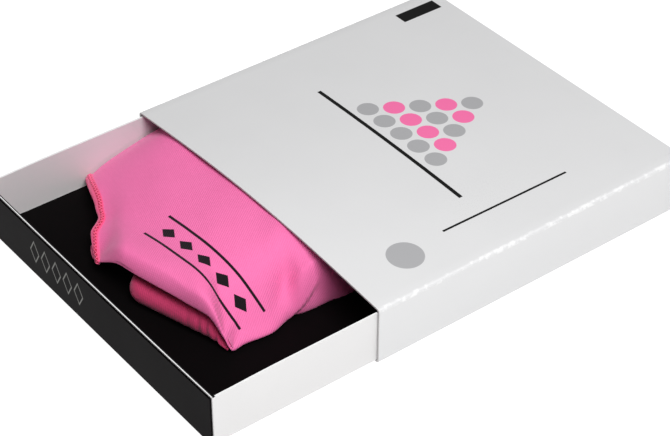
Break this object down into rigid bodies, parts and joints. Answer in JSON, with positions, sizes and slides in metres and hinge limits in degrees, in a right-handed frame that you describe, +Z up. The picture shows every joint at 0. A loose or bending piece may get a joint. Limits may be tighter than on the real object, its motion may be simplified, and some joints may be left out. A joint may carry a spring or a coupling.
{
  "type": "cue glove in an open slide box",
  "caption": "Pink stretch-cloth billiard glove lying folded on the black floor card of a flat white slide box, its tray drawn part of the way out of the sleeve.",
  "frame": {"origin": "middle of the box's whole footprint, on the surface that the sleeve stands on", "axes": "+Y into the sleeve, the tray drawn out towards -Y; +X across the box; +Z up"},
  "size_m": [0.16, 0.2326, 0.0304],
  "materials": {
    "white_card": "satin",
    "tray_card": "satin",
    "black_card": "satin",
    "matt_black_card": "matte",
    "pink_cloth": "matte",
    "hem_cloth": "matte"
  },
  "bodies": {
    "root": {"sleeve": "white_card", "tray": "tray_card", "front_panel": "black_card", "floor_card": "matt_black_card", "glove_body": "pink_cloth", "cuff_hem": "hem_cloth", "thumb_stall": "pink_cloth", "middle_stall": "pink_cloth", "index_stall": "pink_cloth"}
  },
  "joints": []
}
